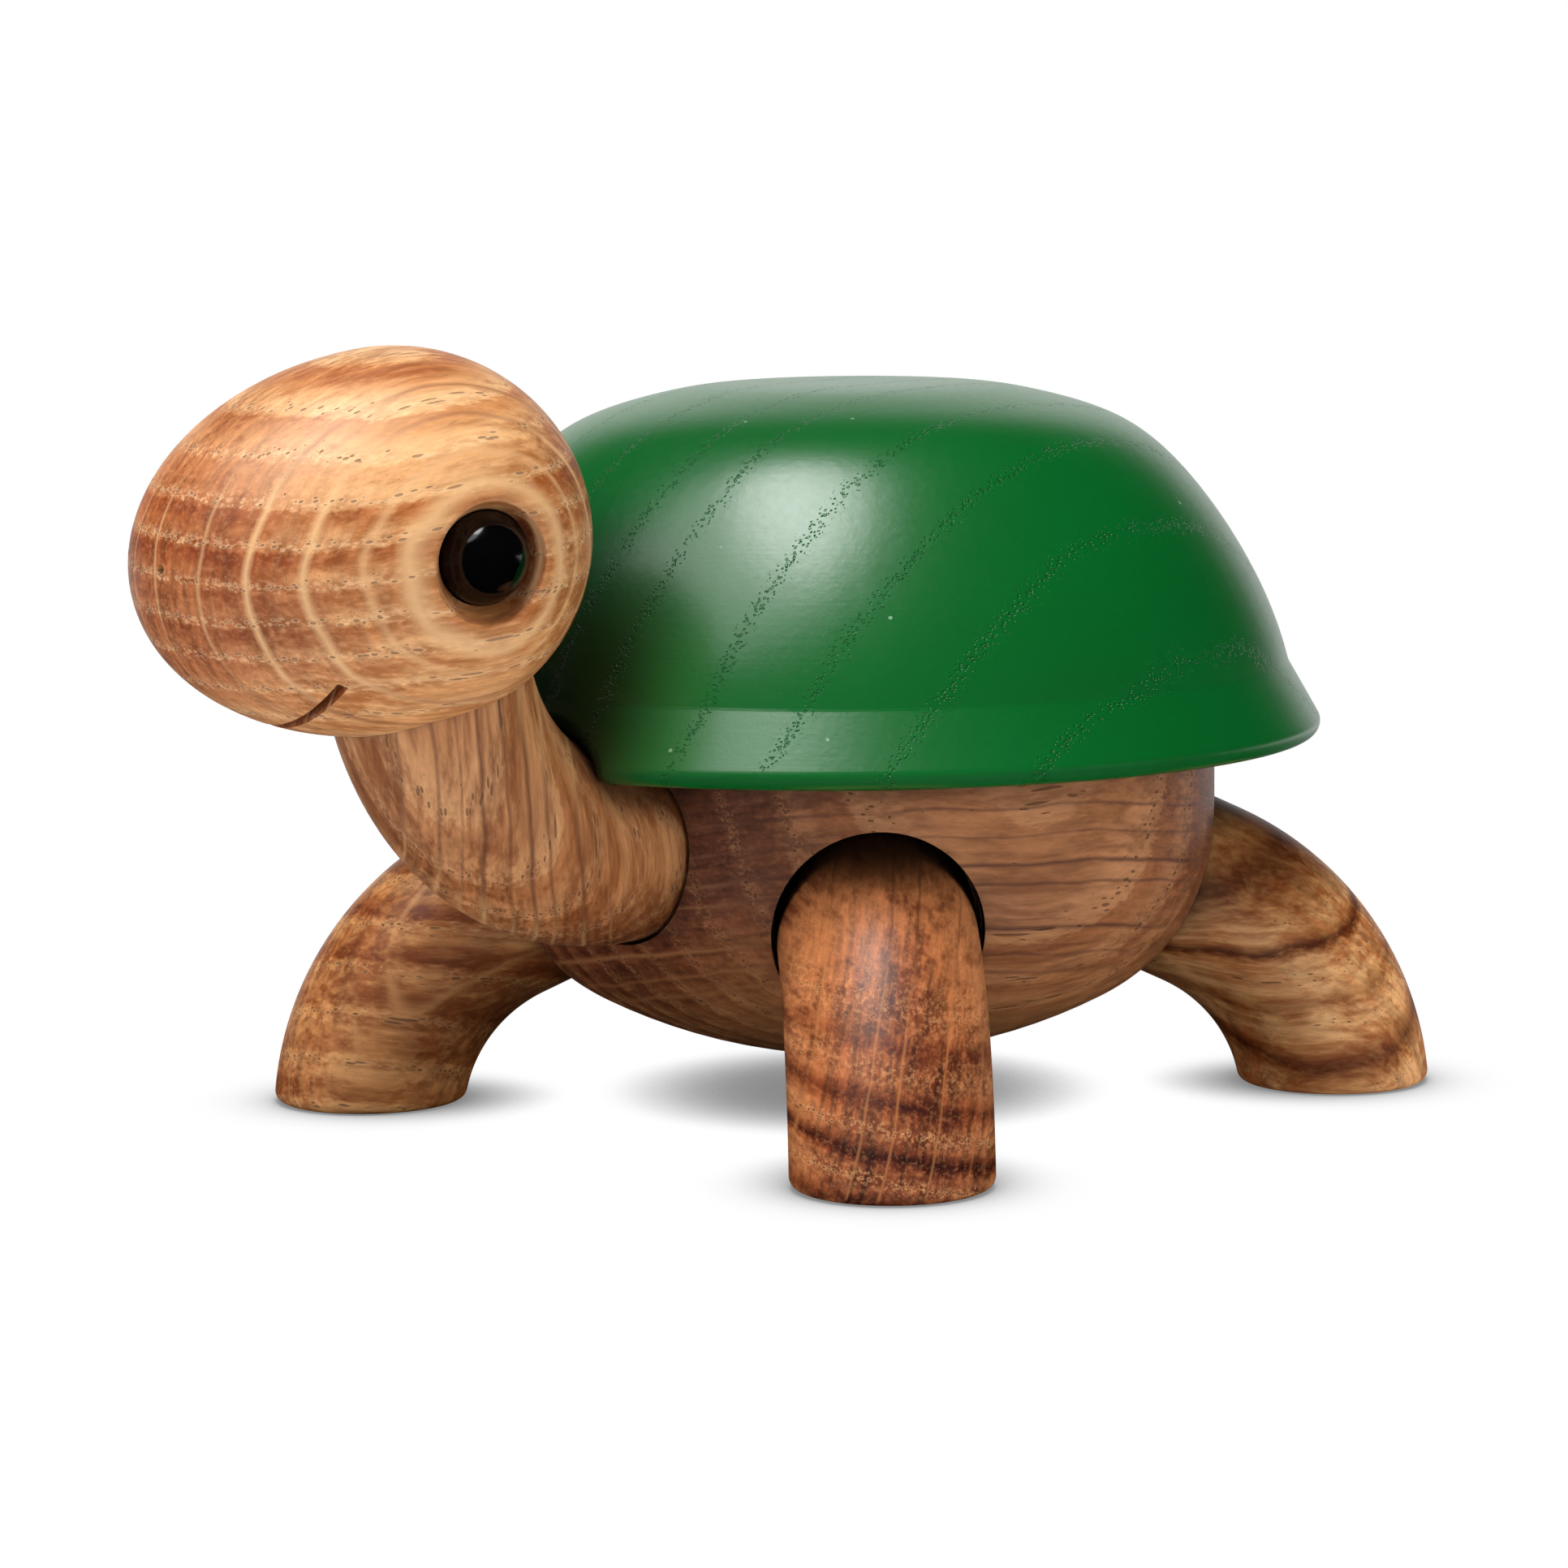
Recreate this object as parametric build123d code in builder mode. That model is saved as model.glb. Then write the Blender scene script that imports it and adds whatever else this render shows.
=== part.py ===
from build123d import *
import os
from math import acos, atan2, cos, degrees, hypot, radians, sin, sqrt

# A turtle figurine in turned oak. It faces -Y, its left side is +X and it stands on z = 0.
# Sizes are in millimetres and angles in degrees.

# The turned ring that the four legs and the neck are sawn from
limb_d = 17.6
limb_bend_r = 21.9

# Belly: a turned bowl with a straight wall, a tight bend and a shallow bottom
belly_r = 33.45
belly_bend_r = 17.5
belly_bend_z = 25.5
belly_bottom_z = 4.0
cavity_r = 18.0
cavity_floor_z = 16.0
cavity_corner_r = 3.0

# Shell: a painted dome with a flared rim that sits over the top of the belly
rim_overhang = 9.65
rim_bottom_z = 33.5
rim_edge_r = 1.2
flare_width = 2.9
flare_height = 6.65
crease_blend_r = 1.0
dome_rise = 25.75
dome_lean_angle = 14.0
dome_ratios = ((0.898, 0.388), (0.786, 0.642), (0.627, 0.858), (0.460, 0.950))
seat_depth = 4.5
seat_clearance = 0.05
notch_clearance = 0.35
notch_edge_r = 1.0

# Limb sockets in the belly. The entry of a leg's socket is also bored level, which leaves
# a shadow gap over the leg
socket_depth = 6.0
socket_clearance = 0.35
entry_depth = 5.0
entry_rise = 1.3
entry_clearance = 0.55

# Legs: each turns on a screw that stands square to the belly's bend
leg_angles = {
    "front_left": -45.0,
    "front_right": -135.0,
    "rear_left": 45.0,
    "rear_right": 135.0,
}
leg_tilt_angle = 25.0
leg_run = 0.75
leg_trim = 10.0
foot_edge_r = 1.0

# Leg pivot: pan head screw, disc spring and flat washer, reached through the belly's open top
screw_d = 4.0
screw_reach = 9.0
screw_tip = 2.0
screw_head_d = 7.5
screw_head_h = 2.6
screw_head_round = 0.8
screw_key_af = 2.5
screw_key_depth = 1.6
thread_clearance = 0.02
pivot_clearance = 0.10
pivot_wall = 6.0
washer_d = 9.0
washer_t = 1.0
washer_clearance = 0.15
spring_t = 0.5
spring_cone = 0.4
spot_clearance = 0.5
spot_reach = 9.0

# Neck: bends up out of the front of the belly and ends in a short straight tip
neck_z = 26.7
neck_sweep_angle = 72.8
neck_tip = 1.8

# Dowels: one glued across the neck's foot, one in the neck's tip that the head turns on
dowel_d = 8.0
dowel_half = 7.0
dowel_glue_gap = 0.02
dowel_end_gap = 0.3
dowel_running_gap = 0.05
dowel_chamfer = 0.5

# Head: a turned egg, nose a little down, turned to its right
head_r = 16.2
head_nose = 22.8
head_back = 16.9
head_rise = 13.8
head_drop_angle = 9.4
head_turn_angle = -21.3
head_seat_clearance = 0.15

# Face: bead eyes in dished sockets, drilled nostrils and a sawn mouth
eye_d = 8.0
eye_sink = 3.9
eye_back = 2.6
eye_up = 0.3
eye_base = 1.5
eye_gap = 0.05
eye_shank_d = 3.0
eye_shank = 5.0
dish_d = 11.3
dish_depth = 3.2
dish_edge_r = 0.4
nostril_d = 0.8
nostril_depth = 1.5
nostril_side = 3.6
nostril_up = 2.4
mouth_forward = 10.6
mouth_drop = 8.1
mouth_slope_angle = 62.0
mouth_kerf = 1.0

# An edge picked by its height lies within this distance of it
height_band = 0.01

# Derived sizes shared by several pieces
limb_r = limb_d / 2
socket_r = limb_r + socket_clearance
belly_top_z = rim_bottom_z + seat_depth
rim_r = belly_r + rim_overhang
crease_r = rim_r - flare_width
crease_z = rim_bottom_z + flare_height
screw_r = screw_d / 2
washer_bore_r = screw_r + washer_clearance
spring_h = spring_t + spring_cone
spot_at = socket_depth + pivot_wall
spring_at = spot_at + washer_t
screw_head_at = spring_at + spring_h
dowel_r = dowel_d / 2
eye_r = eye_d / 2

# Neck line and head place, measured forward of the shell's axis and up from the floor
neck_foot_forward = belly_r - socket_depth
neck_end_forward = belly_r + limb_bend_r * sin(radians(neck_sweep_angle))
neck_end_z = neck_z + limb_bend_r * (1 - cos(radians(neck_sweep_angle)))
head_forward = neck_end_forward + head_rise * cos(radians(neck_sweep_angle))
head_z = neck_end_z + head_rise * sin(radians(neck_sweep_angle))

# Directions of the neck's tip and of the turned head
tip_dir = Vector(0, -cos(radians(neck_sweep_angle)), sin(radians(neck_sweep_angle)))
turn_axis = Axis((0, 0, 0), tip_dir)
nose_before_turn = Vector(0, -cos(radians(head_drop_angle)), -sin(radians(head_drop_angle)))
nose_dir = nose_before_turn.rotate(turn_axis, head_turn_angle)
left_dir = Vector(1, 0, 0).rotate(turn_axis, head_turn_angle)
crown_dir = nose_dir.cross(left_dir)

# The origin is under the middle of the whole figure, so the shell's axis stands behind it
nose_reach = head_forward + sqrt(
    (head_nose * nose_dir.Y) ** 2 + (head_r * left_dir.Y) ** 2 + (head_r * crown_dir.Y) ** 2
)
axis_y = (nose_reach - rim_r) / 2
turning_axis = Axis((0, axis_y, 0), (0, 0, 1))


def radial_plane(azimuth):
    """Upright plane through the shell's axis: local x runs outward, local y runs up."""
    outward = Vector(cos(radians(azimuth)), sin(radians(azimuth)), 0)
    return Plane(origin=(0, axis_y, 0), x_dir=outward, z_dir=outward.cross(Vector(0, 0, 1)))


def pivot_point(distance):
    """Point on a leg's pivot line, in its radial plane, outward from the belly's surface."""
    reach = belly_bend_r + distance
    across = belly_r - belly_bend_r + reach * cos(radians(leg_tilt_angle))
    return (across, belly_bend_z - reach * sin(radians(leg_tilt_angle)))


def leg_station(azimuth, distance):
    """Plane square to a leg's pivot, at a distance outward from the belly's surface."""
    plane = radial_plane(azimuth)
    outward = plane.x_dir * cos(radians(leg_tilt_angle)) - Vector(0, 0, sin(radians(leg_tilt_angle)))
    place = plane.from_local_coords(pivot_point(distance))
    return Plane(origin=place, x_dir=plane.z_dir, z_dir=outward)


def leg_entry(azimuth):
    """Upright plane on the belly's wall that the level entry of a leg's socket is bored from."""
    plane = radial_plane(azimuth)
    entry_z = pivot_point(0)[1] + entry_rise
    return Plane(origin=plane.from_local_coords((belly_r, entry_z)), z_dir=plane.x_dir)


def front_point(forward, z):
    """Point in the plane of symmetry, forward of the shell's axis."""
    return (0, axis_y - forward, z)


def head_point(left, forward, up):
    """Point measured from the middle of the egg along the turned head's own directions."""
    return Vector(*front_point(head_forward, head_z)) + left_dir * left + nose_dir * forward + crown_dir * up


def export(builder, name):
    builder.part.label = name
    export_step(builder.part, f"parts/{name}.step")


os.makedirs("parts", exist_ok=True)

front = radial_plane(-90)
neck_foot = Plane(origin=front_point(neck_foot_forward, neck_z), z_dir=(0, -1, 0))
neck_mouth = Plane(origin=front_point(belly_r, neck_z), z_dir=(0, -1, 0))
neck_tip_point = Vector(*front_point(neck_end_forward, neck_end_z)) + tip_dir * neck_tip
neck_top = Plane(origin=neck_tip_point, z_dir=tip_dir)

# Belly bowl: the bottom arc starts level on the axis and meets the bend without a corner
bend_x = belly_r - belly_bend_r
bend_h = belly_bend_z - belly_bottom_z
bottom_r = (bend_x**2 + bend_h**2 - belly_bend_r**2) / (2 * (bend_h - belly_bend_r))
bottom_share = bottom_r / (bottom_r - belly_bend_r)
bend_start = (bend_x * bottom_share, belly_bottom_z + bottom_r + (bend_h - bottom_r) * bottom_share)

with BuildPart() as body:
    with BuildSketch(front):
        with BuildLine():
            bottom = TangentArc((0, belly_bottom_z), bend_start, tangent=(1, 0))
            TangentArc(bend_start, (belly_r, belly_bend_z), tangent=bottom % 1)
            Polyline(
                (belly_r, belly_bend_z),
                (belly_r, belly_top_z),
                (cavity_r, belly_top_z),
                (cavity_r, cavity_floor_z),
                (0, cavity_floor_z),
                (0, belly_bottom_z),
            )
        make_face()
    revolve(axis=turning_axis)
    cavity_corner = body.edges().filter_by(GeomType.CIRCLE).filter_by_position(
        Axis.Z, cavity_floor_z - height_band, cavity_floor_z + height_band
    )
    fillet(cavity_corner, cavity_corner_r)
    for azimuth in leg_angles.values():
        with Locations(leg_station(azimuth, 0)):
            CounterBoreHole(
                radius=screw_r + pivot_clearance,
                counter_bore_radius=socket_r,
                counter_bore_depth=socket_depth,
                depth=spot_at,
            )
        with Locations(leg_station(azimuth, -spot_at)):
            Hole(radius=washer_d / 2 + spot_clearance, depth=spot_reach)
        with Locations(leg_entry(azimuth)):
            Hole(radius=limb_r + entry_clearance, depth=entry_depth)
    with Locations(neck_mouth):
        CounterBoreHole(
            radius=dowel_r + dowel_glue_gap,
            counter_bore_radius=socket_r,
            counter_bore_depth=socket_depth,
            depth=socket_depth + dowel_half + dowel_end_gap,
        )
export(body, "body")

# Shell: the flare runs from the crease to touch the round edge of the rim
edge_x = rim_r - rim_edge_r
edge_z = rim_bottom_z + rim_edge_r
crease_away = hypot(crease_r - edge_x, crease_z - edge_z)
flare_angle = degrees(atan2(crease_z - edge_z, crease_r - edge_x) - acos(rim_edge_r / crease_away))
seat_r = belly_r + seat_clearance
dome_points = [(crease_r * across, crease_z + dome_rise * up) for across, up in dome_ratios]

with BuildPart() as shell:
    with BuildSketch(front) as shell_outline:
        with BuildLine():
            edge = CenterArc((edge_x, edge_z), rim_edge_r, -90, 90 + flare_angle)
            Line(edge @ 1, (crease_r, crease_z))
            dome = Spline(
                (crease_r, crease_z),
                *dome_points,
                (0, crease_z + dome_rise),
                tangents=[(-sin(radians(dome_lean_angle)), cos(radians(dome_lean_angle))), (-1, 0)],
            )
            Polyline(
                dome @ 1,
                (0, belly_top_z),
                (seat_r, belly_top_z),
                (seat_r, rim_bottom_z),
                edge @ 0,
            )
        make_face()
    revolve(axis=turning_axis)
    crease = shell.edges().filter_by(GeomType.CIRCLE).filter_by_position(
        Axis.Z, crease_z - height_band, crease_z + height_band
    )
    fillet(crease, crease_blend_r)
    with BuildLine(front):
        stub = Line((neck_foot_forward, neck_z), (belly_r, neck_z))
        JernArc(stub @ 1, stub % 1, limb_bend_r, neck_sweep_angle)
    with BuildSketch(neck_foot):
        Circle(limb_r + notch_clearance)
    sweep(mode=Mode.SUBTRACT)
    rim_middle_r = (seat_r + rim_r) / 2
    notch_edges = shell.edges(Select.NEW).filter_by_position(Axis.Y, axis_y - rim_r, axis_y - rim_middle_r)
    fillet(notch_edges, notch_edge_r)
export(shell, "shell")

# Neck: straight in its socket, bent by the ring's radius, straight again under the head
with BuildPart() as neck:
    with BuildLine(front):
        stub = Line((neck_foot_forward, neck_z), (belly_r, neck_z))
        bend = JernArc(stub @ 1, stub % 1, limb_bend_r, neck_sweep_angle)
        Line(bend @ 1, (bend @ 1) + (bend % 1) * neck_tip)
    with BuildSketch(neck_foot):
        Circle(limb_r)
    sweep()
    for end in (Plane(origin=neck_foot.origin, z_dir=-neck_foot.z_dir), neck_top):
        with Locations(end):
            Hole(radius=dowel_r + dowel_glue_gap, depth=dowel_half + dowel_end_gap)
export(neck, "neck")

# Dowels: plain round pins that cross the neck's two end faces
for dowel_name, crossing in (("neck_dowel", neck_foot), ("head_dowel", neck_top)):
    with BuildPart() as dowel:
        with BuildSketch(crossing):
            Circle(dowel_r)
        extrude(amount=dowel_half, both=True)
        chamfer(dowel.edges().filter_by(GeomType.CIRCLE), dowel_chamfer)
    export(dowel, dowel_name)

# Head: two half eggs of one radius, the nose half longer than the back half
head_middle = head_point(0, 0, 0)
egg_plane = Plane(origin=head_middle, x_dir=nose_dir, z_dir=left_dir)
mouth_dir = nose_dir * cos(radians(mouth_slope_angle)) - crown_dir * sin(radians(mouth_slope_angle))
mouth_plane = Plane(
    origin=head_point(0, mouth_forward, -mouth_drop),
    x_dir=left_dir,
    z_dir=left_dir.cross(mouth_dir),
)
nostril_forward = head_nose * sqrt(1 - (nostril_side**2 + nostril_up**2) / head_r**2)
sides = {"left": 1, "right": -1}


def eye_station(side, out):
    """Plane square to an eye, at a distance out from the head's plane of symmetry."""
    return Plane(origin=head_point(side * out, -eye_back, eye_up), x_dir=nose_dir, z_dir=left_dir * side)


# The dish widens from the bead's shoulder to its full width at the egg's surface
dish_out = head_r * sqrt(1 - (eye_back / head_back) ** 2 - (eye_up / head_r) ** 2)
eye_out = dish_out - eye_sink
dish_floor_r = eye_r + eye_gap
dish_taper = degrees(atan2(dish_d / 2 - dish_floor_r, dish_depth))

with BuildPart() as head:
    with BuildSketch(egg_plane):
        with BuildLine():
            EllipticalCenterArc((0, 0), head_nose, head_r, 0, arc_size=90)
            EllipticalCenterArc((0, 0), head_back, head_r, 90, arc_size=90)
            Line((-head_back, 0), (head_nose, 0))
        make_face()
    revolve(axis=Axis(head_middle, nose_dir))
    with Locations(Plane(origin=neck_top.origin, z_dir=-tip_dir)):
        Hole(radius=dowel_r + dowel_running_gap, depth=dowel_half + dowel_end_gap)
    with BuildSketch(neck_top):
        Circle(limb_r + head_seat_clearance)
    extrude(amount=-head_r, mode=Mode.SUBTRACT)
    for side in sides.values():
        with BuildSketch(eye_station(side, dish_out - dish_depth)):
            Circle(dish_floor_r)
        extrude(amount=2 * dish_depth, taper=-dish_taper, mode=Mode.SUBTRACT)
        eye_axis = Axis(head_middle, left_dir * side)
        dish_edge = head.edges(Select.NEW).filter_by_position(eye_axis, dish_out - dish_depth / 2, head_r)
        fillet(dish_edge, dish_edge_r)
        with Locations(eye_station(side, dish_out)):
            Hole(radius=dish_floor_r, depth=dish_out - eye_out + eye_base)
            Hole(radius=eye_shank_d / 2 + eye_gap, depth=dish_out - eye_out + eye_base + eye_shank + eye_gap)
        nostril = Plane(origin=head_point(side * nostril_side, nostril_forward, nostril_up), z_dir=nose_dir)
        with Locations(nostril):
            Hole(radius=nostril_d / 2, depth=nostril_depth)
    with BuildSketch(mouth_plane):
        Rectangle(4 * head_r, 2 * head_r, align=(Align.CENTER, Align.MIN))
    extrude(amount=mouth_kerf / 2, both=True, mode=Mode.SUBTRACT)
export(head, "head")

# Eyes: a half bead on a short round base, with a shank pressed into the head
for side_name, side in sides.items():
    station = eye_station(side, eye_out)
    with BuildPart() as eye:
        with BuildSketch(Plane(origin=station.origin, x_dir=station.x_dir, z_dir=-station.y_dir)):
            with BuildLine():
                CenterArc((0, 0), eye_r, 0, 90)
                Polyline(
                    (0, eye_r),
                    (0, -eye_base - eye_shank),
                    (eye_shank_d / 2, -eye_base - eye_shank),
                    (eye_shank_d / 2, -eye_base),
                    (eye_r, -eye_base),
                    (eye_r, 0),
                )
            make_face()
        revolve(axis=Axis(station.origin, station.z_dir))
    export(eye, f"{side_name}_eye")


def leg_profile_plane(azimuth):
    """Plane for outlines turned about a leg's pivot: local x across, local y outward."""
    mouth = leg_station(azimuth, 0)
    return Plane(origin=mouth.origin, x_dir=mouth.x_dir, z_dir=-mouth.y_dir)


# Legs with their pivots. Each screw turns with its leg, and each flat washer stays on the belly
for leg_name, azimuth in leg_angles.items():
    shank_end = leg_station(azimuth, -socket_depth)
    pivot = Axis(shank_end.origin, shank_end.z_dir)
    pivot_outline = leg_profile_plane(azimuth)

    with BuildPart() as leg:
        with BuildLine(radial_plane(azimuth)):
            shank = Line(pivot_point(-socket_depth), pivot_point(leg_run))
            knee = JernArc(shank @ 1, shank % 1, limb_bend_r, leg_tilt_angle - 90)
            Line(knee @ 1, (knee @ 1) + (knee % 1) * leg_trim)
        with BuildSketch(shank_end):
            Circle(limb_r)
        sweep()
        split(bisect_by=Plane.XY, keep=Keep.TOP)
        fillet(leg.faces().sort_by(Axis.Z)[0].edges(), foot_edge_r)
        with Locations(Plane(origin=shank_end.origin, z_dir=-shank_end.z_dir)):
            Hole(radius=screw_r + thread_clearance, depth=socket_depth + screw_reach + thread_clearance)
    export(leg, f"{leg_name}_leg")

    with BuildPart() as screw:
        with BuildSketch(pivot_outline):
            with BuildLine():
                Polyline(
                    (0, -screw_head_at - screw_head_h),
                    (screw_head_d / 2, -screw_head_at - screw_head_h),
                    (screw_head_d / 2, -screw_head_at),
                    (screw_r, -screw_head_at),
                    (screw_r, screw_reach - screw_tip),
                    (0, screw_reach),
                    close=True,
                )
            make_face()
        revolve(axis=pivot)
        crown = screw.edges().filter_by(GeomType.CIRCLE).sort_by(pivot)[0]
        fillet(crown, screw_head_round)
        with BuildSketch(leg_station(azimuth, -screw_head_at - screw_head_h)):
            RegularPolygon(screw_key_af / 2, 6, major_radius=False)
        extrude(amount=screw_key_depth, mode=Mode.SUBTRACT)
    export(screw, f"{leg_name}_leg_screw")

    with BuildPart() as washer:
        with BuildSketch(leg_station(azimuth, -spring_at)):
            Circle(washer_d / 2)
            Circle(washer_bore_r, mode=Mode.SUBTRACT)
        extrude(amount=washer_t)
    export(washer, f"{leg_name}_leg_washer")

    with BuildPart() as spring:
        with BuildSketch(pivot_outline):
            with BuildLine():
                Polyline(
                    (washer_d / 2, -spring_at),
                    (washer_d / 2, -spring_at - spring_t),
                    (washer_bore_r, -screw_head_at),
                    (washer_bore_r, -screw_head_at + spring_t),
                    close=True,
                )
            make_face()
        revolve(axis=pivot)
    export(spring, f"{leg_name}_leg_spring")
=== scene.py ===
from math import cos, pi, radians, sin

import bpy
from mathutils import Matrix, Vector


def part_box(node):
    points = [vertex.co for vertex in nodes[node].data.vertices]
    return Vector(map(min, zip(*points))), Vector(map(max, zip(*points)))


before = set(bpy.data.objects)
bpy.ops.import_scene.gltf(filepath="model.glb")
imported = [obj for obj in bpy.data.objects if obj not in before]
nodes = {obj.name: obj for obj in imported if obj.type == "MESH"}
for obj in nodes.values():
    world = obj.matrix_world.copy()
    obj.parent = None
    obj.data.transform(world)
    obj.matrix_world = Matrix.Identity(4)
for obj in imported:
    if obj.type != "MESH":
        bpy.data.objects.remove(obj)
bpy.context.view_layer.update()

# Places are written in millimetres and used in metres
MM = 0.001

# Camera: a long lens at the figure's left front, a little above it
camera_azimuth = radians(41.7)
camera_distance = 484.75 * MM
camera_side = -6.29 * MM
camera_height = 91.89 * MM
camera_pitch = radians(7.43)
camera_roll = radians(-0.54)
camera_lens = 121.24
sensor_width = 36.0

# The shell's axis on the floor, and the camera's own directions there
_, shell_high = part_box("shell")
shell_axis = Vector((0, shell_high.y - shell_high.x, 0))
across = Vector((cos(camera_azimuth), sin(camera_azimuth), 0))
ahead = Vector((-sin(camera_azimuth), cos(camera_azimuth), 0))
upward = Vector((0, 0, 1))


def make_camera():
    data = bpy.data.cameras.new("camera")
    data.lens = camera_lens
    data.sensor_width = sensor_width
    data.clip_start = 0.01
    camera = bpy.data.objects.new("camera", data)
    bpy.context.scene.collection.objects.link(camera)
    place = shell_axis + across * camera_side - ahead * camera_distance + upward * camera_height
    turn = Matrix.Rotation(camera_azimuth, 4, "Z")
    tilt = Matrix.Rotation(pi / 2 - camera_pitch, 4, "X")
    roll = Matrix.Rotation(camera_roll, 4, "Z")
    camera.matrix_world = Matrix.Translation(place) @ turn @ tilt @ roll
    bpy.context.scene.camera = camera


class Surface:
    """A material under construction, with short ways to add nodes and join them."""

    def __init__(self, name):
        self.material = bpy.data.materials.new(name)
        self.material.use_nodes = True
        self.tree = self.material.node_tree
        self.shader = self.tree.nodes["Principled BSDF"]

    def feed(self, socket, value):
        if isinstance(value, bpy.types.NodeSocket):
            self.tree.links.new(value, socket)
        else:
            socket.default_value = value

    def node(self, kind, inputs=None, **settings):
        made = self.tree.nodes.new("ShaderNode" + kind)
        for key, value in settings.items():
            setattr(made, key, value)
        for key, value in (inputs or {}).items():
            self.feed(made.inputs[key], value)
        return made

    def math(self, operation, *values, clamp=False):
        made = self.node("Math", dict(enumerate(values)), operation=operation, use_clamp=clamp)
        return made.outputs[0]

    def dot(self, first, second):
        made = self.node("VectorMath", {0: first, 1: second}, operation="DOT_PRODUCT")
        return made.outputs["Value"]

    def scaled(self, place, factors):
        made = self.node("VectorMath", {0: place, 1: factors}, operation="MULTIPLY")
        return made.outputs["Vector"]

    def noise(self, place, scale, detail=2.0, roughness=0.5):
        inputs = {"Vector": place, "Scale": scale, "Detail": detail, "Roughness": roughness}
        return self.node("TexNoise", inputs).outputs["Fac"]

    def cells(self, place, scale=1.0):
        inputs = {"Vector": place, "Scale": scale}
        return self.node("TexVoronoi", inputs).outputs["Distance"]

    def remap(self, value, low, high, to_low=0.0, to_high=1.0):
        inputs = {0: value, 1: low, 2: high, 3: to_low, 4: to_high}
        return self.node("MapRange", inputs, interpolation_type="SMOOTHSTEP").outputs[0]

    def shade(self, colour, level):
        """The colour made lighter or darker by a level that is 1 where it stays."""
        return self.node("HueSaturation", {"Color": colour, "Value": level}).outputs[0]

    def bump(self, height, depth):
        """Feed a height from 0 to 1 to the shader as relief, depth millimetres deep."""
        inputs = {"Height": height, "Strength": 1.0, "Distance": depth * MM}
        self.feed(self.shader.inputs["Normal"], self.node("Bump", inputs).outputs[0])

    def painted_nook_shade(self, reach, level):
        """Painted shade: 1 in the open, falling to a level where another surface stands within a reach in
        millimetres.
        """
        open_share = self.node("AmbientOcclusion", {"Distance": reach * MM}, samples=8).outputs["AO"]
        return self.remap(open_share, 0.45, 0.92, level, 1.0)

    def blend(self, factor, first, second, kind="MIX"):
        inputs = {0: factor, 6: first, 7: second}
        return self.node("Mix", inputs, data_type="RGBA", blend_type=kind).outputs[2]

    def bands(self, value, bands):
        """A level along value. Each band has a place, the width it fades in on each side, and a height."""
        low = min(place - 2 * width for place, width, _ in bands)
        high = max(place + 2 * width for place, width, _ in bands)
        share = self.node("MapRange", {0: value, 1: low, 2: high}).outputs[0]
        made = self.node("ValToRGB", {"Fac": share})
        stops = made.color_ramp.elements
        stops[0].position, stops[0].color = 0.0, (0, 0, 0, 1)
        stops[1].position, stops[1].color = 1.0, (0, 0, 0, 1)
        for place, width, height in bands:
            for offset, level in ((-width, 0.0), (0.0, height), (width, 0.0)):
                stop = stops.new((place + offset - low) / (high - low))
                stop.color = (level, level, level, 1)
        return made.outputs["Color"]

    def lines(self, value, places, width):
        """1 on each named place along value, falling to 0 a width away from it."""
        return self.bands(value, [(place, width, 1.0) for place in places])


def rgb(red, green, blue):
    """A display colour, each part from 0 to 255, as the shader's linear colour."""
    parts = []
    for part in (red, green, blue):
        share = part / 255
        parts.append(share / 12.92 if share <= 0.04045 else ((share + 0.055) / 1.055) ** 2.4)
    return (*parts, 1.0)


# Oak: its roughness, how deep its relief is in millimetres, and how strongly the rays show
oak_roughness = 0.38
oak_relief = 0.10
ray_depth = 0.8

# Paint: colours, sheen, relief in millimetres, and how far and how much painted shade darkens its nooks
paint_deep = (0.0003, 0.100, 0.011, 1)
paint_bright = (0.0005, 0.128, 0.021, 1)
dust_colour = rgb(150, 190, 160)
paint_roughness = 0.25
paint_gloss = 0.75
paint_relief = 0.10
paint_shade_reach = 14.0
paint_shade_level = 0.2

# Bead: the black itself, and where it has been wiped
bead_deep = (0.0006, 0.0006, 0.0007, 1)
bead_wiped = (0.0018, 0.0018, 0.0020, 1)


def grain_axes(grain, ray_normal):
    """Unit directions along the fibres, across the rings and across the rays."""
    along = Vector(grain).normalized()
    tangential = Vector(ray_normal)
    tangential = (tangential - along * tangential.dot(along)).normalized()
    return along, tangential.cross(along), tangential


class Grain:
    """Distances through a piece of oak in millimetres: along the fibres, across rings and across rays."""

    def __init__(self, surface, grain, ray_normal, wander):
        self.axes = grain_axes(grain, ray_normal)
        coordinates = surface.node("TexCoord")
        place = coordinates.outputs["Object"]
        along, radial, tangential = (surface.dot(place, axis / MM) for axis in self.axes)
        slow = surface.noise(place, 55.0, 2.0)
        slow_too = surface.noise(surface.scaled(place, (1.0, -1.0, 1.0)), 70.0, 2.0)
        self.along = along
        drift, drift_too = (surface.math("SUBTRACT", part, 0.5) for part in (slow, slow_too))
        self.radial = surface.math("MULTIPLY_ADD", drift, wander, radial)
        self.tangential = surface.math("MULTIPLY_ADD", drift_too, wander, tangential)
        inputs = {0: self.along, 1: self.radial, 2: self.tangential}
        self.place = surface.node("CombineXYZ", inputs).outputs[0]
        normal = coordinates.outputs["Normal"]
        self.facing = [surface.math("ABSOLUTE", surface.dot(normal, axis)) for axis in self.axes]


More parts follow.
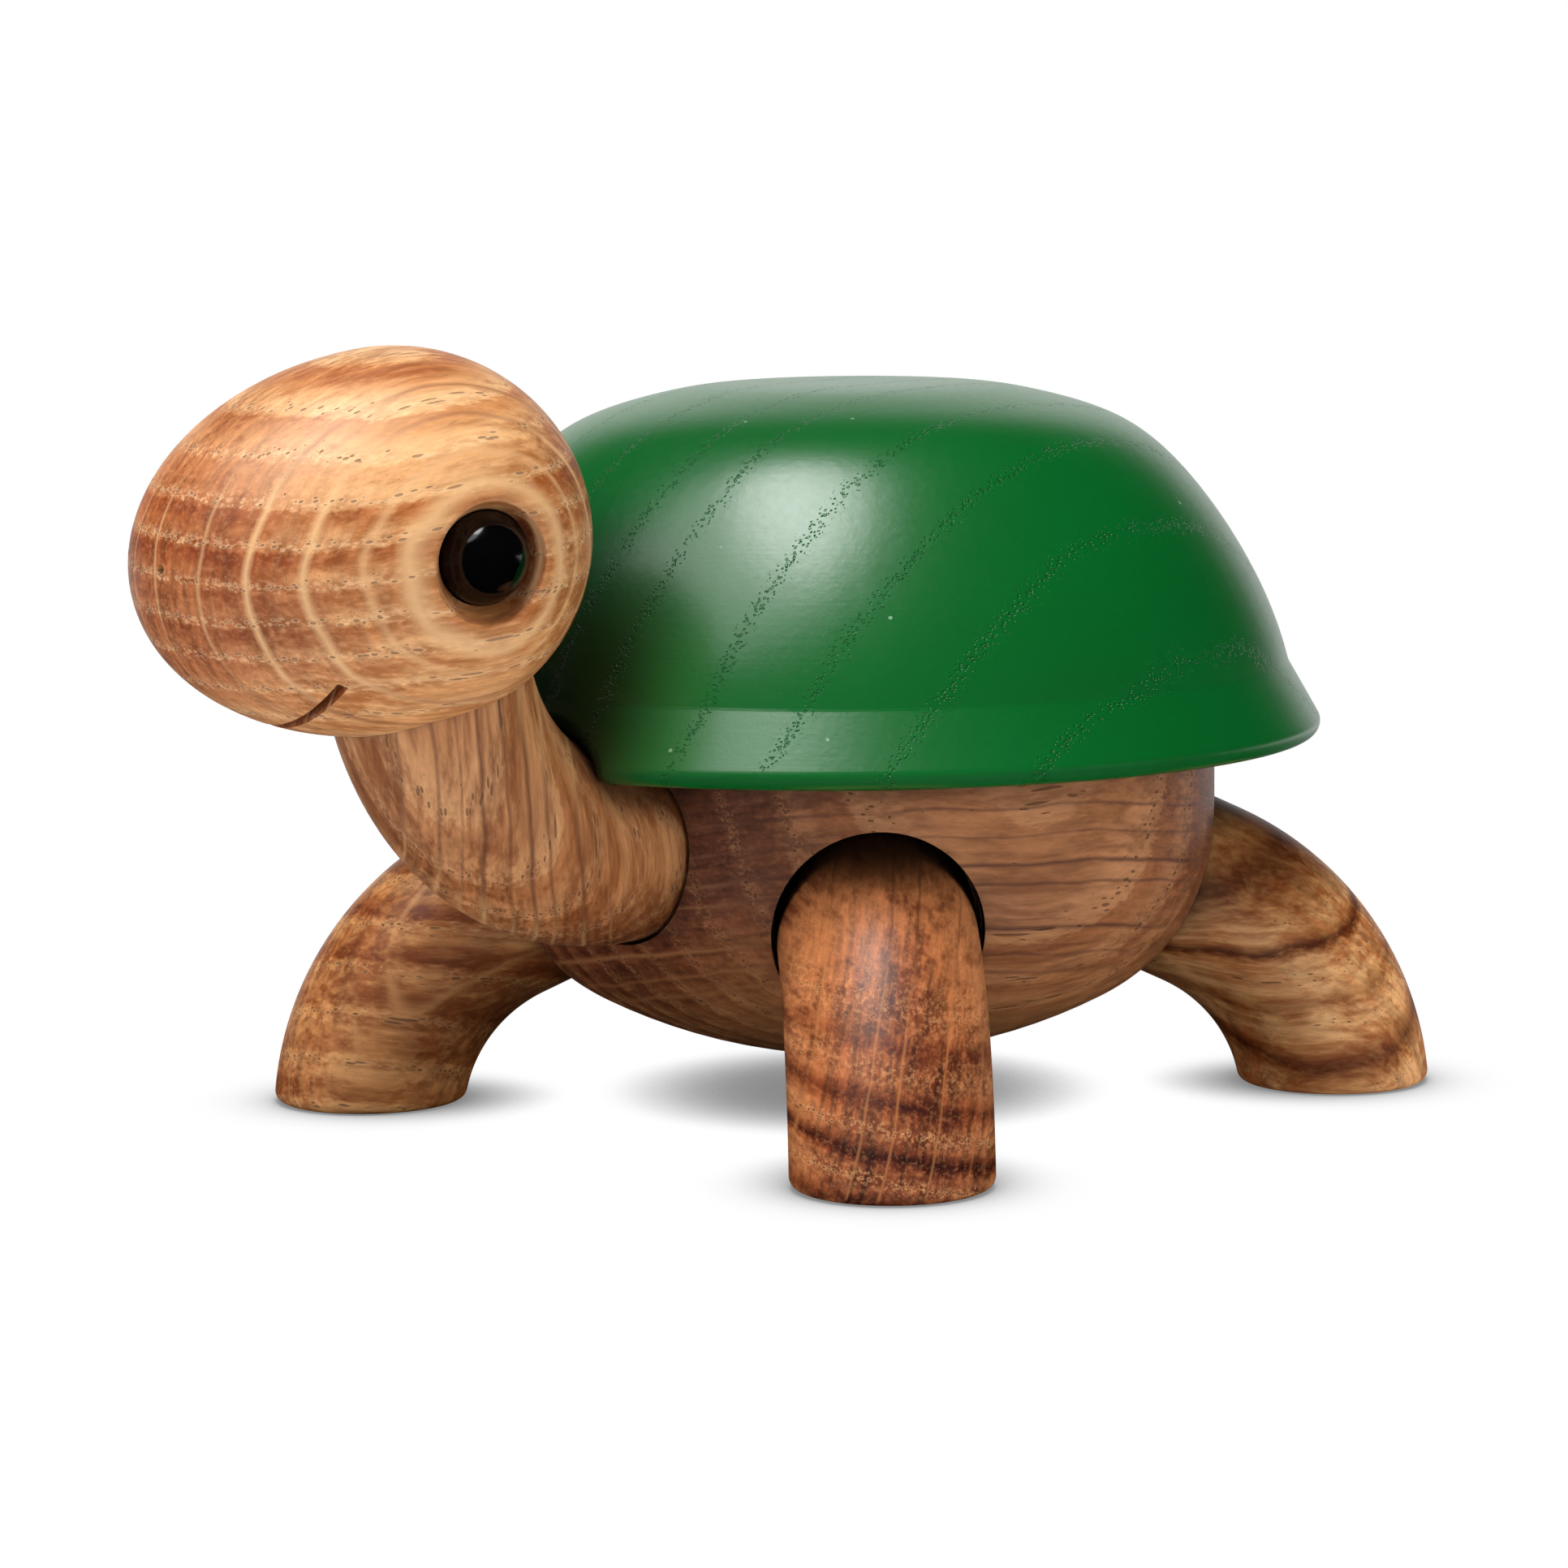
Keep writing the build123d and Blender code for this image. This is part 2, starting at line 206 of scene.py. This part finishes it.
def oak(name, grain, ray_normal, colours, rays, ring_step=0.0, ring_start=0.0,
        late_bands=None, early_bands=None, wander=2.0, ring_depth=0.5, end_depth=0.5,
        pore_depth=0.6, speck_depth=0.6, hair_depth=0.8, shade_reach=5.0, shade_level=0.4):
    """Oiled oak, worked out through the solid so that every cut shows the right figure.

    The rings repeat at ring_step from ring_start, or lie where late_bands and early_bands say.
    The depths say how strongly each feature shows, from 0 to 1.
    """
    surface = Surface(name)
    wood = Grain(surface, grain, ray_normal, wander)
    end_face, ring_face, _ = wood.facing
    end = surface.remap(end_face, 0.25, 0.85)

    # Fibres: long fine streaks, slow changes of colour, hair-fine rays, and the mottle of cut cells
    streak = surface.noise(surface.scaled(wood.place, (0.05, 1.1, 1.1)), 1.0, 4.0, 0.6)
    cloud = surface.noise(surface.scaled(wood.place, (0.03, 0.12, 0.12)), 1.0, 2.0)
    hair = surface.noise(surface.scaled(wood.place, (0.22, 0.13, 1.5)), 1.0, 4.0, 0.65)
    fleck = surface.noise(surface.scaled(wood.place, (0.7, 2.6, 2.6)), 1.0, 3.0, 0.6)

    # Growth rings: each opens with a porous band and closes with a dense dark one
    ragged = surface.math("MULTIPLY_ADD", fleck, 0.9, surface.math("SUBTRACT", wood.radial, 0.45))
    if late_bands:
        late = surface.bands(ragged, late_bands)
        early = surface.bands(ragged, early_bands)
    else:
        turn = surface.math("DIVIDE", surface.math("SUBTRACT", ragged, ring_start), ring_step)
        count = surface.math("FLOOR", turn)
        year = surface.node("TexWhiteNoise", {"W": count}, noise_dimensions="1D").outputs["Value"]
        ring = surface.math("FRACT", turn)
        early = surface.math("MULTIPLY", surface.remap(ring, 0.0, 0.08), surface.remap(ring, 0.40, 0.12))
        late = surface.math("MULTIPLY", surface.remap(ring, 0.30, 0.80), surface.remap(ring, 1.0, 0.92))
        late = surface.math("MULTIPLY", late, surface.math("MULTIPLY_ADD", year, 0.9, 0.3))

    # Pores: long thin vessels, mostly in the porous band, each with a pale lip painted on as a highlight
    # along its edge
    vessel = surface.cells(surface.scaled(wood.place, (0.14, 2.3, 2.3)))
    reach = surface.math("MULTIPLY_ADD", early, 0.24, 0.05)
    depth = surface.math("SUBTRACT", vessel, reach)
    pore = surface.remap(depth, 0.05, -0.07)
    lip_highlight_share = surface.math("MULTIPLY_ADD", early, 0.6, 0.15)
    lip_highlight = surface.math("MULTIPLY", surface.remap(depth, 0.26, 0.10), lip_highlight_share)

    # Rays: thin sheets, the named ones right through and many small ones between
    sheet = surface.bands(wood.tangential, rays)
    breaks = surface.noise(surface.scaled(wood.place, (0.10, 0.10, 0.02)), 1.0, 1.0)
    broken = surface.remap(breaks, 0.28, 0.46)
    small = surface.cells(surface.scaled(wood.place, (0.030, 0.045, 1.1)))
    small = surface.remap(small, 0.18, 0.06, 0.0, 0.25)
    ray = surface.math("MAXIMUM", surface.math("MULTIPLY", sheet, broken), small)

    # Colour: fibres, then dense wood, end grain, hair lines, specks and the pores' painted highlight lips,
    # rays, pores and painted shade in nooks
    tone = surface.math("MULTIPLY_ADD", streak, 0.7, surface.math("MULTIPLY", cloud, 0.6))
    colour = surface.blend(surface.remap(tone, 0.50, 0.78), colours["dark"], colours["light"])
    colour = surface.blend(surface.math("MULTIPLY", late, ring_depth), colour, colours["late"])
    dense = surface.math("MULTIPLY_ADD", late, 0.8 * ring_depth, 1.0)
    colour = surface.node("Gamma", {"Color": colour, "Gamma": dense}).outputs[0]
    colour = surface.blend(surface.math("MULTIPLY", end, end_depth), colour, colours["end"], "MULTIPLY")
    hair_swing = surface.math("MULTIPLY_ADD", end, hair_depth, 0.4)
    level = surface.math("MULTIPLY_ADD", surface.remap(hair, 0.32, 0.68, -0.25, 0.25), hair_swing, 1.0)
    level = surface.math("MULTIPLY_ADD", surface.math("SUBTRACT", fleck, 0.5), 0.5, level)
    colour = surface.shade(colour, level)
    speck_share = surface.math("MULTIPLY_ADD", early, 0.8, 0.2)
    speck = surface.math("MULTIPLY", surface.remap(fleck, 0.50, 0.66), speck_share)
    # The pale lips, a painted highlight, join the pale specks
    speck = surface.math("MAXIMUM", speck, lip_highlight)
    colour = surface.blend(surface.math("MULTIPLY", speck, speck_depth), colour, colours["speck"])
    flat_cut = surface.remap(ring_face, 0.45, 0.8)
    ray_colour = surface.blend(flat_cut, colours["ray_pale"], colours["ray_dark"])
    colour = surface.blend(surface.math("MULTIPLY", ray, ray_depth), colour, ray_colour)
    colour = surface.blend(surface.math("MULTIPLY", pore, pore_depth), colour, colours["pore"])
    # Painted shade darkens the colour where another surface stands close
    colour = surface.shade(colour, surface.painted_nook_shade(shade_reach, shade_level))
    surface.feed(surface.shader.inputs["Base Color"], colour)

    # Sheen and relief: open pores are rough and sunk, the fibres stand up a little
    rough = surface.math("MULTIPLY_ADD", streak, 0.16, oak_roughness)
    rough = surface.math("MULTIPLY_ADD", pore, 0.25, rough)
    surface.feed(surface.shader.inputs["Roughness"], rough)
    relief = surface.math("MULTIPLY_ADD", pore, -1.0, surface.math("MULTIPLY", streak, 0.25))
    relief = surface.math("MULTIPLY_ADD", hair, 0.18, relief)
    relief = surface.math("MULTIPLY_ADD", fleck, 0.30, relief)
    surface.bump(relief, oak_relief)
    return surface.material


def painted_oak(name, grain, ray_normal, rows):
    """Satin green paint on open-grained oak: the rows of pores show through it as small pits."""
    surface = Surface(name)
    wood = Grain(surface, grain, ray_normal, 2.5)
    band = surface.lines(wood.radial, rows, 1.5)
    vessel = surface.cells(surface.scaled(wood.place, (1.6, 3.2, 3.2)))
    gaps = surface.noise(surface.scaled(wood.place, (0.12, 0.12, 0.12)), 1.0, 2.0)
    band = surface.math("MULTIPLY", band, surface.remap(gaps, 0.12, 0.36))
    reach = surface.math("MULTIPLY_ADD", band, 0.56, -0.12)
    pit = surface.remap(surface.math("SUBTRACT", vessel, reach), 0.06, -0.14)
    peel = surface.noise(wood.place, 1.5, 3.0, 0.6)
    streak = surface.noise(surface.scaled(wood.place, (0.06, 1.5, 1.5)), 1.0, 3.0)
    height = surface.node("SeparateXYZ", {0: surface.node("TexCoord").outputs["Object"]}).outputs["Z"]
    turned = surface.noise(surface.node("CombineXYZ", {2: height}).outputs[0], 2600.0, 2.0)
    tint = surface.noise(wood.place, 0.05, 2.0)
    colour = surface.blend(tint, paint_deep, paint_bright)
    # The pits are painted slightly darker as shade in them
    colour = surface.shade(colour, surface.math("MULTIPLY_ADD", pit, -0.06, 1.0))
    dust = surface.remap(surface.cells(wood.place, 0.16), 0.035, 0.02)
    colour = surface.blend(surface.math("MULTIPLY", dust, 0.6), colour, dust_colour)
    # Painted shade darkens the paint where another surface stands close, as under the head
    colour = surface.shade(colour, surface.painted_nook_shade(paint_shade_reach, paint_shade_level))
    surface.feed(surface.shader.inputs["Base Color"], colour)
    rough = surface.math("MULTIPLY_ADD", peel, 0.10, paint_roughness)
    surface.feed(surface.shader.inputs["Roughness"], rough)
    surface.shader.inputs["Specular IOR Level"].default_value = paint_gloss
    relief = surface.math("MULTIPLY_ADD", pit, -1.0, surface.math("MULTIPLY", peel, 0.13))
    relief = surface.math("MULTIPLY_ADD", streak, 0.05, relief)
    relief = surface.math("MULTIPLY_ADD", turned, 0.06, relief)
    surface.bump(relief, paint_relief)
    return surface.material


def polished_black(name):
    """Moulded black bead with faint dust and wipe marks in its polish."""
    surface = Surface(name)
    place = surface.node("TexCoord").outputs["Object"]
    wipe = surface.noise(surface.scaled(place, (1.0, 1.0, 3.0)), 400.0, 3.0)
    colour = surface.blend(wipe, bead_deep, bead_wiped)
    surface.feed(surface.shader.inputs["Base Color"], colour)
    surface.feed(surface.shader.inputs["Roughness"], surface.math("MULTIPLY_ADD", wipe, 0.06, 0.09))
    return surface.material


def plated_steel(name):
    """Zinc plate with fine turning marks."""
    surface = Surface(name)
    place = surface.node("TexCoord").outputs["Object"]
    marks = surface.noise(place, 2500.0, 3.0)
    colour = surface.blend(marks, rgb(176, 178, 178), rgb(206, 207, 204))
    surface.feed(surface.shader.inputs["Base Color"], colour)
    surface.shader.inputs["Metallic"].default_value = 1.0
    surface.feed(surface.shader.inputs["Roughness"], surface.math("MULTIPLY_ADD", marks, 0.2, 0.22))
    return surface.material


def wood_colours(**colours):
    return {part: rgb(*display) for part, display in colours.items()}


# Rays: each has its place in millimetres along the piece's ray direction from the frame's origin,
# the width it fades in on each side, and how strongly it shows
head_rays = (
    (-10.6, 0.30, 0.8), (-7.2, 0.24, 0.6), (-3.4, 0.34, 0.9), (0.5, 0.20, 0.5), (3.9, 0.22, 0.6),
    (8.5, 0.22, 0.6), (11.85, 0.36, 1.0), (14.9, 0.36, 1.0), (17.35, 0.26, 0.7), (18.7, 0.50, 1.0),
)
body_rays = (
    (7.6, 0.22, 0.7), (11.0, 0.26, 0.9), (12.4, 0.20, 0.7), (14.5, 0.32, 1.0), (18.4, 0.24, 0.8),
    (20.2, 0.32, 1.0), (22.7, 0.18, 0.6), (25.1, 0.24, 0.8),
)
neck_rays = (
    (-27.2, 0.20, 0.6), (-24.3, 0.28, 0.8), (-22.3, 0.20, 0.6), (-20.4, 0.34, 1.0), (-18.1, 0.26, 0.7),
    (-16.2, 0.36, 1.0), (-14.6, 0.24, 0.8), (-12.0, 0.28, 0.9), (-9.5, 0.22, 0.6),
)
front_left_rays = (
    (-5.0, 0.22, 0.7), (-1.2, 0.22, 0.7), (3.75, 0.20, 0.9), (8.65, 0.16, 0.8), (11.0, 0.16, 0.8),
    (14.8, 0.16, 0.8), (18.4, 0.18, 0.6),
)
leg_rays = (
    (-12.0, 0.22, 0.7), (-8.5, 0.18, 0.5), (-3.0, 0.24, 0.6), (1.5, 0.18, 0.5), (6.0, 0.22, 0.6),
    (11.0, 0.20, 0.5),
)

# Rows of pores under the paint, in millimetres across the rings from the frame's origin
shell_rows = (-35.0, -26.8, -18.3, -10.4, -2.5, 6.6, 12.3, 20.0, 28.0)

# Each oak's shade_reach and shade_level say how far and how deep its painted shade in nooks goes; the front
# left leg's top inside its socket is painted nearly black
oaks = {
    "head": oak(
        "head_oak", (0.226, 0.970, 0.087), (0.972, -0.219, -0.086),
        wood_colours(light=(234, 178, 122), dark=(186, 120, 66), late=(178, 108, 58), end=(190, 144, 116),
                     speck=(246, 206, 158), ray_pale=(238, 190, 136),
                     ray_dark=(158, 100, 64), pore=(112, 66, 36)),
        head_rays, 3.15, 52.7, ring_depth=0.35, end_depth=0.9, speck_depth=0.5, hair_depth=0.5,
        shade_reach=2.0, shade_level=0.8),
    "neck": oak(
        "neck_oak", (0.0, -0.10, 1.0), (0.66, 0.747, 0.075),
        wood_colours(light=(206, 148, 98), dark=(154, 96, 54), late=(142, 84, 48), end=(220, 190, 175),
                     speck=(222, 172, 122), ray_pale=(224, 174, 118),
                     ray_dark=(106, 62, 40), pore=(92, 52, 30)),
        neck_rays, 3.4, 0.0, ring_depth=0.2, end_depth=0.4, speck_depth=0.35),
    "body": oak(
        "body_oak", (-0.363, -0.930, 0.039), (-0.172, 0.108, 0.979),
        wood_colours(light=(192, 132, 86), dark=(152, 98, 60), late=(122, 74, 48), end=(160, 130, 125),
                     speck=(190, 136, 88), ray_pale=(162, 108, 66),
                     ray_dark=(82, 44, 38), pore=(64, 32, 18)),
        body_rays, 3.65, 24.7, ring_depth=0.3, end_depth=1.0, speck_depth=0.4),
    "front_left_leg": oak(
        "front_left_oak", (0.70, -0.70, 0.0), (0.794, 0.575, -0.197),
        wood_colours(light=(196, 124, 74), dark=(124, 64, 34), late=(84, 38, 24), end=(204, 180, 170),
                     speck=(222, 160, 104), ray_pale=(190, 122, 68),
                     ray_dark=(90, 48, 34), pore=(60, 28, 18)),
        front_left_rays,
        late_bands=((-15.2, 1.2, 0.3), (-10.6, 1.3, 0.75), (-6.5, 1.0, 1.0), (-2.2, 1.0, 0.6)),
        early_bands=((-18.0, 2.5, 0.5), (-13.0, 1.6, 0.5), (-8.4, 0.9, 1.0), (-4.3, 0.9, 1.0)),
        ring_depth=0.7, end_depth=0.9, speck_depth=0.75, hair_depth=1.6,
        shade_reach=10.0, shade_level=0.04),
    "front_right_leg": oak(
        "front_right_oak", (-0.70, -0.70, 0.1), (0.70, -0.70, 0.2),
        wood_colours(light=(204, 146, 90), dark=(146, 84, 40), late=(118, 64, 28), end=(220, 195, 180),
                     speck=(212, 160, 104), ray_pale=(208, 154, 98),
                     ray_dark=(98, 54, 28), pore=(72, 38, 18)),
        leg_rays, 4.2, 1.0, ring_depth=0.5, end_depth=0.4, speck_depth=0.5, shade_reach=8.0, shade_level=0.2),
    "rear_left_leg": oak(
        "rear_left_oak", (0.80, 0.556, -0.026), (-0.5, 0.741, 0.448),
        wood_colours(light=(240, 184, 124), dark=(188, 116, 60), late=(86, 40, 16), end=(225, 200, 185),
                     speck=(220, 174, 122), ray_pale=(214, 164, 110),
                     ray_dark=(96, 54, 28), pore=(84, 46, 22)),
        # The wide first late band darkens the leg's top under the shell's rim: partly dark latewood, partly a
        # painted shadow of the rim
        leg_rays, late_bands=((-13.6, 4.4, 1.0), (-7.6, 0.9, 1.0), (-2.8, 1.3, 0.5), (2.6, 2.0, 0.9)),
        early_bands=((-9.6, 1.0, 0.5), (-5.4, 1.0, 0.6), (-0.6, 1.2, 0.6), (4.6, 0.8, 0.6)),
        wander=5.0, ring_depth=0.7, end_depth=0.3, speck_depth=0.35, shade_reach=10.0, shade_level=0.12),
    "rear_right_leg": oak(
        "rear_right_oak", (-0.70, 0.70, 0.0), (0.70, 0.70, 0.1),
        wood_colours(light=(186, 132, 84), dark=(146, 92, 52), late=(118, 70, 38), end=(220, 200, 190),
                     speck=(210, 158, 104), ray_pale=(206, 154, 98),
                     ray_dark=(98, 56, 32), pore=(74, 40, 22)),
        leg_rays, 3.8, 0.5, ring_depth=0.5, end_depth=0.4, speck_depth=0.5, shade_reach=8.0, shade_level=0.2),
    "dowel": oak(
        "dowel_beech", (0.0, 0.0, 1.0), (1.0, 0.0, 0.0),
        wood_colours(light=(226, 188, 148), dark=(206, 164, 124), late=(198, 154, 116), end=(220, 205, 195),
                     speck=(230, 196, 158), ray_pale=(214, 172, 132),
                     ray_dark=(176, 128, 92), pore=(160, 112, 80)),
        leg_rays, 2.0, 0.0, ring_depth=0.2, pore_depth=0.15, speck_depth=0.2),
}
shell_paint = painted_oak("shell_paint", (-0.063, 0.996, 0.019), (0.28, 0.0, 0.96), shell_rows)
eye_black = polished_black("eye_black")
pivot_steel = plated_steel("pivot_steel")


def finish_for(node):
    if node == "shell":
        return shell_paint
    if node.endswith("_eye"):
        return eye_black
    if node.endswith("_dowel"):
        return oaks["dowel"]
    return oaks.get(node, pivot_steel)


for node_name, node_object in nodes.items():
    node_object.data.materials.clear()
    node_object.data.materials.append(finish_for(node_name))


# Floor: its size, how pale it is under the figure, where it is painted darker as shade, and away from it, and
# its painted contact shadow
floor_size = 6.0
floor_shaded_near, floor_far = 0.25, 0.90
shadow_reach = 9 * MM
shadow_level = 0.25

# Light from all round: its level, its level low in front, and what reflections see of it
ambient_level = 0.07
front_level = 0.5
mirror_level = 0.006


def make_floor():
    """A floor that is white to the eye and behind the figure, with a painted contact shadow where the figure
    stands on it, and painted darker as shade under the figure in the light it bounces.
    """
    bpy.ops.mesh.primitive_plane_add(size=floor_size, location=(0, 0, 0))
    floor = bpy.context.object
    floor.name = "floor"
    surface = Surface("floor")
    tree = surface.tree
    place = surface.node("TexCoord").outputs["Object"]
    far = surface.remap(surface.dot(place, ahead), 0.02, 0.25)
    away = surface.node("VectorMath", {0: place}, operation="LENGTH").outputs["Value"]
    # The floor's bounce is painted darker under the figure as shade
    pale = surface.remap(away, 0.025, 0.06, floor_shaded_near, floor_far)
    light_path = surface.node("LightPath").outputs
    mirrored = surface.math("MULTIPLY", light_path["Is Glossy Ray"], far)
    seen = surface.math("MAXIMUM", light_path["Is Camera Ray"], mirrored)
    seen = surface.math("MAXIMUM", seen, light_path["Is Transmission Ray"])
    # The contact shadow is painted: the white dims where the figure stands close
    open_sky = surface.node("AmbientOcclusion", {"Distance": shadow_reach}, samples=16).outputs["AO"]
    shadow = surface.remap(open_sky, 0.30, 1.0, shadow_level, 1.0)
    pale = surface.math("MULTIPLY", pale, surface.math("SUBTRACT", 1.0, light_path["Is Glossy Ray"]))
    grey = surface.node("CombineXYZ", {0: pale, 1: pale, 2: pale}).outputs[0]
    bounce = surface.node("BsdfDiffuse", {"Color": grey})
    white = surface.node("Emission", {"Color": (1, 1, 1, 1), "Strength": shadow})
    both = surface.node("MixShader", {0: seen, 1: bounce.outputs[0], 2: white.outputs[0]})
    tree.links.new(both.outputs[0], tree.nodes["Material Output"].inputs["Surface"])
    floor.data.materials.append(surface.material)
    floor.visible_shadow = False


def area_light(name, direction, distance, width, depth, power, mirror=True):
    """A soft light that stands off from the figure in a direction and faces it."""
    data = bpy.data.lights.new(name, "AREA")
    data.shape = "ELLIPSE"
    data.size, data.size_y = width, depth
    data.energy = power
    light = bpy.data.objects.new(name, data)
    bpy.context.scene.collection.objects.link(light)
    toward = (across * direction[0] + ahead * direction[1] + upward * direction[2]).normalized()
    side = (across - toward * across.dot(toward)).normalized()
    turn = Matrix((side, toward.cross(side), toward)).transposed().to_4x4()
    light.matrix_world = Matrix.Translation(Vector((0, 0, 40 * MM)) + toward * distance) @ turn
    light.visible_glossy = mirror


def make_world():
    """White to the eye and behind the figure in its reflections, and dim in the light it casts."""
    world = bpy.data.worlds.new("studio")
    bpy.context.scene.world = world
    world.use_nodes = True
    tree = world.node_tree

    def add(kind, inputs, **settings):
        made = tree.nodes.new("ShaderNode" + kind)
        for key, value in settings.items():
            setattr(made, key, value)
        for key, value in inputs.items():
            if isinstance(value, bpy.types.NodeSocket):
                tree.links.new(value, made.inputs[key])
            else:
                made.inputs[key].default_value = value
        return made.outputs

    direction = add("TexCoord", {})["Generated"]
    behind = add("VectorMath", {0: direction, 1: ahead}, operation="DOT_PRODUCT")["Value"]
    behind = add("MapRange", {0: behind, 1: 0.72, 2: 0.95}, interpolation_type="SMOOTHSTEP")[0]
    light_path = add("LightPath", {})
    mirrored = add("Math", {0: light_path["Is Glossy Ray"], 1: behind}, operation="MULTIPLY")[0]
    seen = add("Math", {0: light_path["Is Camera Ray"], 1: mirrored}, operation="MAXIMUM")[0]
    seen = add("Math", {0: seen, 1: light_path["Is Transmission Ray"]}, operation="MAXIMUM")[0]
    front = add("VectorMath", {0: direction, 1: -ahead}, operation="DOT_PRODUCT")["Value"]
    front = add("MapRange", {0: front, 1: -0.1, 2: 0.8}, interpolation_type="SMOOTHSTEP")[0]
    rise = add("SeparateXYZ", {0: direction})["Z"]
    low = add("MapRange", {0: rise, 1: 0.40, 2: 0.15}, interpolation_type="SMOOTHSTEP")[0]
    band = add("Math", {0: front, 1: low}, operation="MULTIPLY")[0]
    ambient = add("MapRange", {0: band, 3: ambient_level, 4: front_level})[0]
    above = add("MapRange", {0: rise, 1: -0.02, 2: 0.02})[0]
    ambient = add("Math", {0: ambient, 1: above}, operation="MULTIPLY")[0]
    cast = add("MapRange", {0: light_path["Is Glossy Ray"], 3: ambient, 4: mirror_level})[0]
    strength = add("MapRange", {0: seen, 3: cast, 4: 1.0})[0]
    background = tree.nodes["Background"]
    background.inputs["Color"].default_value = (1, 1, 1, 1)
    tree.links.new(strength, background.inputs["Strength"])


make_camera()
make_floor()
make_world()
area_light("key", (-0.15, -0.24, 0.96), distance=0.55, width=0.26, depth=0.40, power=2.2)
area_light("left_wing", (-0.42, -0.36, 0.83), distance=0.60, width=0.55, depth=0.55, power=1.9)
area_light("front_left", (-0.75, -0.65, 0.05), distance=0.90, width=0.60, depth=0.25, power=1.9, mirror=False)
area_light("front_right", (0.90, -0.42, 0.06), distance=1.00, width=0.60, depth=0.25, power=3.4, mirror=False)

bpy.context.scene.view_settings.view_transform = "Standard"
